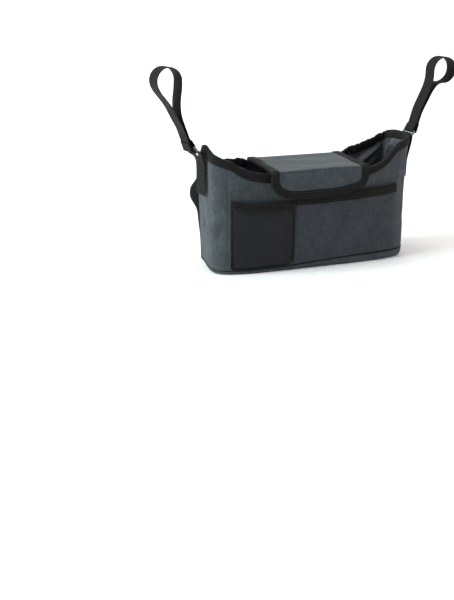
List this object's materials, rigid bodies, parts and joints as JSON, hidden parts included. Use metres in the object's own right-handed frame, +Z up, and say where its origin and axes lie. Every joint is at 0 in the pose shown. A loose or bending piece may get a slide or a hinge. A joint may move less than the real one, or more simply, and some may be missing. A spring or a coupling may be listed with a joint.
{
  "type": "stroller organizer",
  "caption": "Sewn caddy bag with open cup pockets at its ends, a lidded middle, front pockets and webbing loops that hang it from a handlebar.",
  "frame": {"origin": "centre of the flat bottom, where the bag rests", "axes": "+X along the bag to the viewer's right, -Y out of the front with the pockets, +Z up"},
  "size_m": [0.492, 0.1274, 0.3079],
  "materials": {
    "melange_fabric": "matte melange weave",
    "black_fabric": "matte",
    "lining_fabric": "slightly shiny woven lining",
    "binding_tape": "ribbed tape",
    "stretch_mesh": "fine stretch mesh",
    "webbing": "woven webbing",
    "hook_and_loop": "hook and loop pile",
    "ring": "satin plated wire",
    "stiffener": "plain board"
  },
  "bodies": {
    "root": {"front_panel": "melange_fabric", "left_end_panel": "melange_fabric", "right_end_panel": "melange_fabric", "back_panel": "black_fabric", "bottom_panel": "melange_fabric", "bottom_board": "stiffener", "lining": "lining_fabric", "left_divider": "lining_fabric", "right_divider": "lining_fabric", "front_rim_binding": "binding_tape", "left_back_rim_elastic": "binding_tape", "right_back_rim_elastic": "binding_tape", "bottom_piping": "binding_tape", "lid_flap": "melange_fabric", "lid_flap_lining": "lining_fabric", "lid_flap_binding": "binding_tape", "phone_pocket_mesh": "stretch_mesh", "phone_pocket_binding": "binding_tape", "front_pocket_panel": "melange_fabric", "front_pocket_binding": "binding_tape", "left_side_webbing": "webbing", "right_side_webbing": "webbing", "left_ring": "ring", "right_ring": "ring", "left_handle_strap": "webbing", "right_handle_strap": "webbing", "left_strap_hook_tape": "hook_and_loop", "right_strap_hook_tape": "hook_and_loop", "left_strap_loop_tape": "hook_and_loop", "right_strap_loop_tape": "hook_and_loop"}
  },
  "joints": []
}
